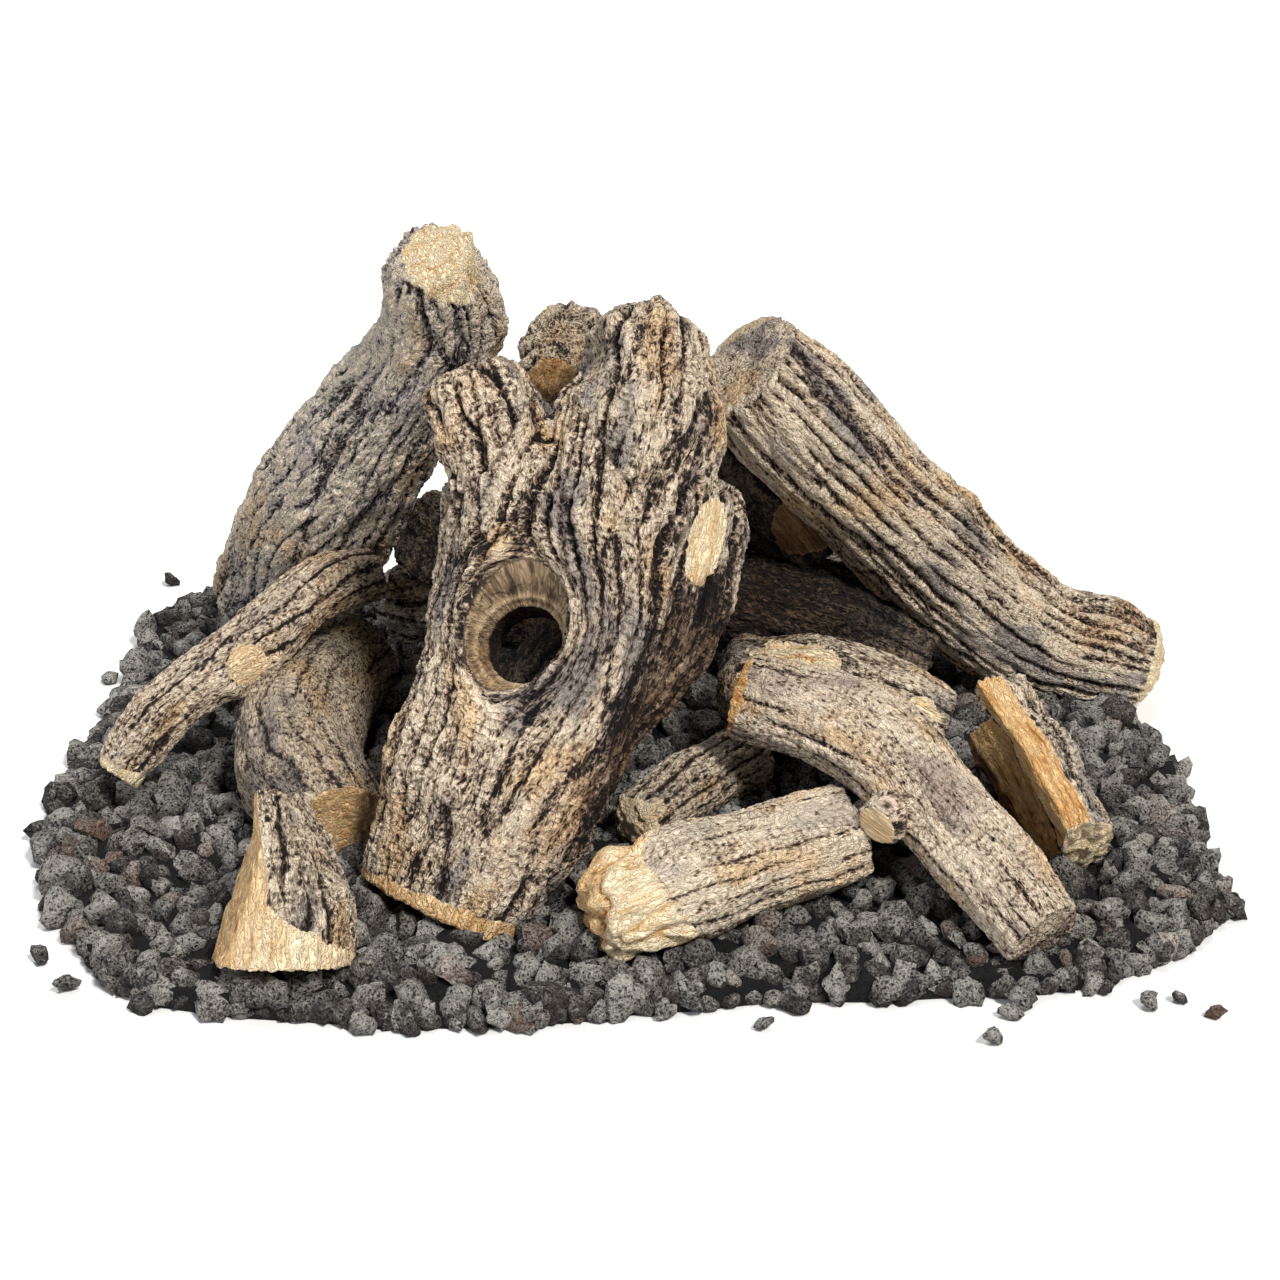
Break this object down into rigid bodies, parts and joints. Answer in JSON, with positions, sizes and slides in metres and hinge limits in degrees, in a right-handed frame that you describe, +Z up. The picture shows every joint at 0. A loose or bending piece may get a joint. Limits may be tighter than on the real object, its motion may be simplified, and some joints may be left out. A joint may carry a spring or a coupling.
{
  "type": "gas log set",
  "caption": "Gas log set: bark-textured cast logs, one forked with a knot hole, piled on a low bed of lava rock over a round pan burner with a ring, feed tube, air shutter and valve.",
  "frame": {"origin": "centre of the burner pan's underside, on the hearth", "axes": "+Z up, -Y towards the viewer in front of the pile, +X to the right as that viewer sees it, +Y along the gas feed to the rear"},
  "size_m": [0.8435, 0.8336, 0.4311],
  "materials": {
    "burner_steel": "plain steel",
    "fitting_brass": "machined",
    "key_paint": "black paint",
    "lava_rock": "rough and porous",
    "log_ceramic": "cast bark, stained grey-brown",
    "branch_ceramic": "cast smooth bark, stained pinkish grey",
    "split_ceramic": "cast split wood, stained tan"
  },
  "bodies": {
    "base": {"burner_pan": "burner_steel", "burner_ring": "burner_steel", "burner_hub": "burner_steel", "feed_tube": "burner_steel", "burner_spoke_left": "burner_steel", "burner_spoke_right": "burner_steel", "ring_cradle_1": "burner_steel", "ring_cradle_2": "burner_steel", "ring_cradle_3": "burner_steel", "ring_cradle_4": "burner_steel", "mixer_tube": "fitting_brass", "orifice_fitting": "fitting_brass", "valve_body": "fitting_brass", "inlet_fitting": "fitting_brass", "lava_bed": "lava_rock", "centre_log": "log_ceramic", "rear_left_base_log": "log_ceramic", "left_elbow_log": "log_ceramic", "front_stub_log": "log_ceramic", "right_base_log": "log_ceramic", "rear_diagonal_log": "log_ceramic", "rear_right_log": "log_ceramic", "rear_left_stub_log": "log_ceramic", "rear_cross_log": "log_ceramic", "back_split_log": "log_ceramic"},
    "shutter": {"air_shutter": "burner_steel", "shutter_screw": "fitting_brass"},
    "key": {"valve_key": "key_paint"},
    "right_long": {"right_long_log": "log_ceramic"},
    "left_tall": {"left_tall_log": "log_ceramic"},
    "left_crooked": {"left_crooked_branch": "log_ceramic"},
    "front_hollow": {"front_hollow_log": "log_ceramic"},
    "front_short": {"front_short_log": "log_ceramic"},
    "right_forked": {"right_forked_branch": "branch_ceramic"},
    "right_trough": {"right_trough_log": "log_ceramic"},
    "front_left": {"front_left_wedge": "split_ceramic"}
  },
  "joints": [
    {"name": "key_turn", "type": "hinge", "parent": "base", "child": "key", "pos_m": [0, 0.4071, 0.03], "axis": [0, 0, 1], "range_deg": [0, 90]},
    {"name": "shutter_turn", "type": "hinge", "parent": "base", "child": "shutter", "pos_m": [0, 0.3625, 0.014], "axis": [0, 1, 0], "range_deg": [0, 60]},
    {"name": "right_long_lift", "type": "slide", "parent": "base", "child": "right_long", "axis": [0.6283, 0, 0.7779], "range_m": [0, 0.4]},
    {"name": "left_tall_lift", "type": "slide", "parent": "base", "child": "left_tall", "axis": [-0.3497, 0.3497, 0.8692], "range_m": [0, 0.4]},
    {"name": "left_crooked_lift", "type": "slide", "parent": "base", "child": "left_crooked", "axis": [-0.3902, -0.6804, 0.6203], "range_m": [0, 0.3]},
    {"name": "front_hollow_lift", "type": "slide", "parent": "base", "child": "front_hollow", "axis": [0.2017, 0.0504, 0.9782], "range_m": [0, 0.35]},
    {"name": "front_short_lift", "type": "slide", "parent": "base", "child": "front_short", "axis": [-0.7336, -0.5326, 0.4221], "range_m": [0, 0.2]},
    {"name": "right_forked_lift", "type": "slide", "parent": "base", "child": "right_forked", "axis": [0.2506, -0.3509, 0.9023], "range_m": [0, 0.25]},
    {"name": "right_trough_lift", "type": "slide", "parent": "base", "child": "right_trough", "axis": [0.3015, -0.3015, 0.9045], "range_m": [0, 0.2]},
    {"name": "front_left_lift", "type": "slide", "parent": "base", "child": "front_left", "axis": [-0.3495, -0.5493, 0.759], "range_m": [0, 0.15]}
  ]
}
